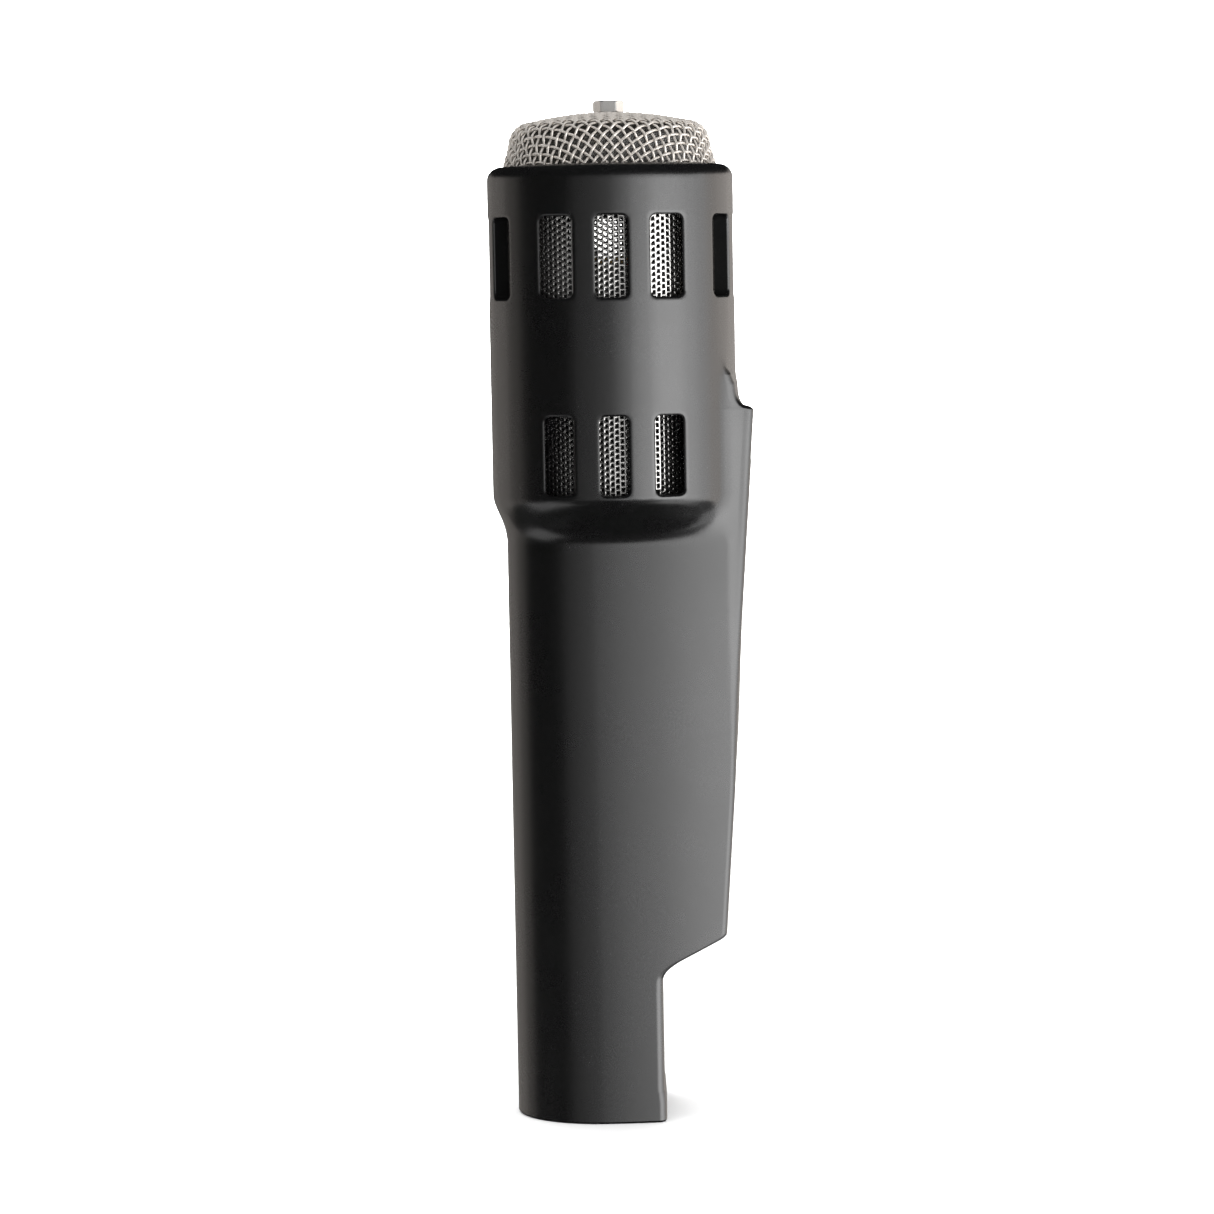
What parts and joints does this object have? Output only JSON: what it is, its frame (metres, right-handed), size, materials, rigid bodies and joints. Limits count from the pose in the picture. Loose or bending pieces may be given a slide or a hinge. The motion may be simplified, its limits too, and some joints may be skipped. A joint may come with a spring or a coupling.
{
  "type": "end-address ribbon microphone",
  "caption": "Black end-address microphone: slotted round head under a woven wire dome, teardrop handle with a rear fin, and a short tube that ends in a three-pin socket.",
  "frame": {"origin": "middle of the outline in X and Y, at the level of the connector end", "axes": "+Z from the connector end to the grille, +X towards the flat back of the fin, -X towards the rounded nose of the handle, Y across the thickness"},
  "size_m": [0.061, 0.0574, 0.238],
  "materials": {
    "black_satin_alloy": "satin black finish on machined alloy",
    "black_alloy": "black anodised",
    "stainless_steel": "bright stainless",
    "dark_steel": "blackened steel",
    "perforated_steel": "bright perforated sheet",
    "brass": "turned brass",
    "magnet_nickel": "nickel plated magnet",
    "ribbon_aluminium": "corrugated foil",
    "machined_alloy": "fine machined",
    "rubber": "matt",
    "grey_felt": "wool felt",
    "laminated_steel": "stacked laminations",
    "enamelled_copper": "wound enamelled copper",
    "circuit_board": "green solder mask",
    "black_plastic": "moulded",
    "capacitor_film": "potted box",
    "capacitor_can": "drawn can",
    "gold_plate": "gold plated",
    "wire_red": "insulated wire",
    "wire_white": "insulated wire"
  },
  "bodies": {
    "microphone": {"board_screw_1": "stainless_steel", "board_screw_2": "stainless_steel", "centre_stud": "stainless_steel", "chamber_divider": "machined_alloy", "circuit_board": "circuit_board", "clamp_screw_left_1": "stainless_steel", "clamp_screw_left_2": "stainless_steel", "clamp_screw_right_1": "stainless_steel", "clamp_screw_right_2": "stainless_steel", "connector_block": "black_alloy", "connector_grub_screw": "dark_steel", "connector_insert": "black_plastic", "contact_pin_1": "gold_plate", "contact_pin_2": "gold_plate", "contact_pin_3": "gold_plate", "damping_felt": "grey_felt", "film_capacitor_1": "capacitor_film", "film_capacitor_2": "capacitor_film", "grille_dome": "stainless_steel", "grille_nut": "stainless_steel", "grille_ring": "machined_alloy", "grille_screen": "stainless_steel", "head_floor": "machined_alloy", "housing": "black_satin_alloy", "isolator_1": "rubber", "isolator_2": "rubber", "isolator_3": "rubber", "isolator_4": "rubber", "labyrinth_tube": "black_plastic", "low_cut_switch": "dark_steel", "lower_liner": "perforated_steel", "magnet_front": "magnet_nickel", "magnet_rear": "magnet_nickel", "motor_yoke": "dark_steel", "output_lead": "wire_white", "pole_piece_front": "dark_steel", "pole_piece_rear": "dark_steel", "rear_cover": "black_satin_alloy", "rear_cover_screw_1": "dark_steel", "rear_cover_screw_2": "dark_steel", "rear_cover_screw_3": "dark_steel", "rear_cover_screw_4": "dark_steel", "ribbon": "ribbon_aluminium", "ribbon_clamp_left": "brass", "ribbon_clamp_right": "brass", "ribbon_lead_left": "wire_red", "ribbon_lead_right": "wire_white", "standoff_1": "brass", "standoff_2": "brass", "supply_capacitor": "capacitor_can", "transformer_bracket": "machined_alloy", "transformer_core": "laminated_steel", "transformer_lead": "wire_red", "transformer_winding": "enamelled_copper", "transistor_1": "black_plastic", "transistor_2": "black_plastic", "upper_liner": "perforated_steel"},
    "switch_slider": {"low_cut_slider": "black_plastic"}
  },
  "joints": [
    {"name": "low_cut_slide", "type": "slide", "parent": "microphone", "child": "switch_slider", "axis": [0, 1, 0], "range_m": [0, 0.0024]}
  ]
}
